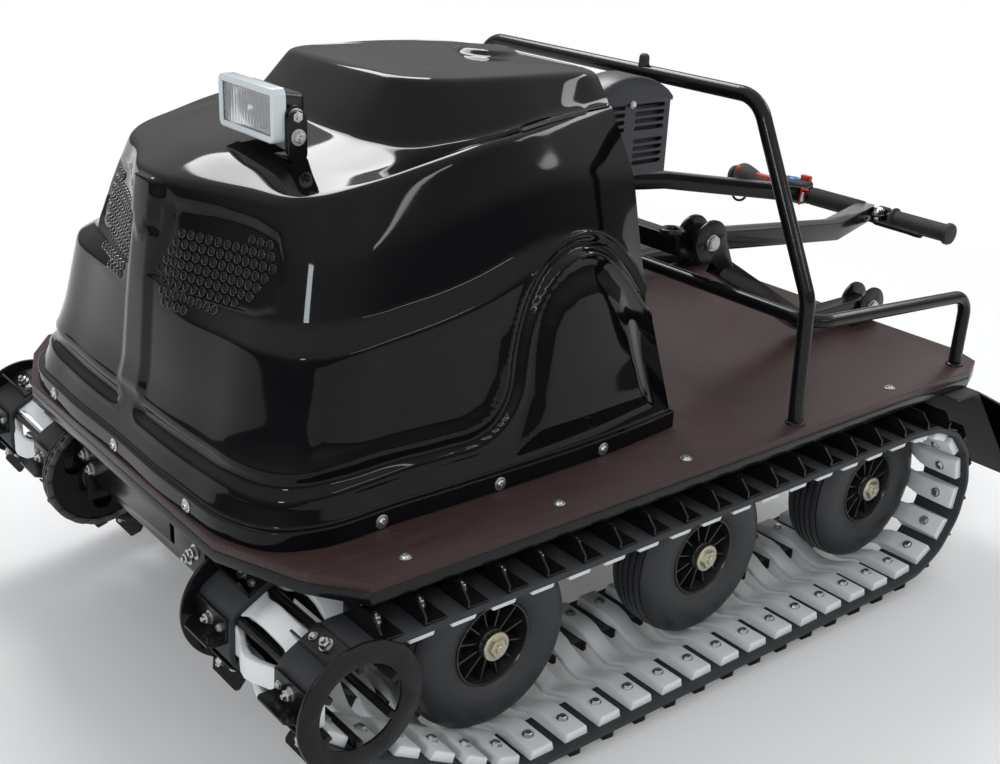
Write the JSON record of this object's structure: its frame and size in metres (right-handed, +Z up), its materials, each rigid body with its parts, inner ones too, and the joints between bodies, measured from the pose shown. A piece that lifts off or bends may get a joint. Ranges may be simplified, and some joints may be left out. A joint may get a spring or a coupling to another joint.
{
  "type": "tracked snow towing vehicle",
  "caption": "Walk-behind snow tug on two open tracks with a moulded engine hood, a plywood cargo deck, a hoop and a folding two-arm handle.",
  "frame": {"origin": "on the ground under the middle of the vehicle's overall box", "axes": "+X to the vehicle's left, +Y to its rear, +Z up"},
  "size_m": [0.974, 1.4924, 0.85],
  "materials": {
    "black_paint": "gloss",
    "hood_gloss": "high gloss",
    "deck_ply": "film-faced mesh",
    "belt_rubber": "matte",
    "saddle_plastic": "satin",
    "tyre_rubber": "ribbed",
    "rim_plastic": "satin",
    "zinc": "zinc plated",
    "chain_steel": "oiled",
    "engine_metal": "cast",
    "guard_metal": "satin",
    "lamp_shell": "satin",
    "lamp_glass": "clear",
    "grip_rubber": "matte",
    "flap_rubber": "satin"
  },
  "bodies": {
    "root": {"deck_frame": "black_paint", "chassis_frame": "black_paint", "front_plate": "black_paint", "front_guard": "black_paint", "axle_brackets": "black_paint", "drive_drum_left": "black_paint", "drive_drum_right": "black_paint", "drive_axle": "black_paint", "hoop": "black_paint", "cargo_rail": "black_paint", "rear_hinge_plates": "black_paint", "tow_hitch": "black_paint", "lamp_bracket": "black_paint", "stub_axles_left": "black_paint", "stub_axles_right": "black_paint", "hood": "hood_gloss", "deck_panel": "deck_ply", "track_belts_left": "belt_rubber", "track_belts_right": "belt_rubber", "track_saddles_left": "saddle_plastic", "track_saddles_right": "saddle_plastic", "tyres_left": "tyre_rubber", "tyres_right": "tyre_rubber", "rims_left": "rim_plastic", "rims_right": "rim_plastic", "rear_hinge_bolts": "zinc", "chain_sprockets": "chain_steel", "drive_chain": "chain_steel", "engine_block": "engine_metal", "silencer": "engine_metal", "muffler_guard": "guard_metal", "lamp_body": "lamp_shell", "lamp_lens": "lamp_glass", "hoop_clip": "grip_rubber", "mud_flap_left": "flap_rubber", "mud_flap_right": "flap_rubber"},
    "lower_frame": {"lower_arms": "black_paint", "handle_cross_tube": "black_paint", "knee_plates": "black_paint", "knee_bolts": "zinc", "tie_eyes": "black_paint"},
    "upper_frame": {"upper_arms": "black_paint", "handlebar": "black_paint", "grips": "grip_rubber", "brake_lever": "black_paint", "switch_box": "grip_rubber"}
  },
  "joints": [
    {"name": "lower_frame_fold", "type": "hinge", "parent": "root", "child": "lower_frame", "pos_m": [0, 0.57622, 0.394], "axis": [-1, 0, 0], "range_deg": [0, 80]},
    {"name": "handle_fold", "type": "hinge", "parent": "lower_frame", "child": "upper_frame", "pos_m": [0, 0.13722, 0.575], "axis": [1, 0, 0], "range_deg": [0, 60]}
  ]
}
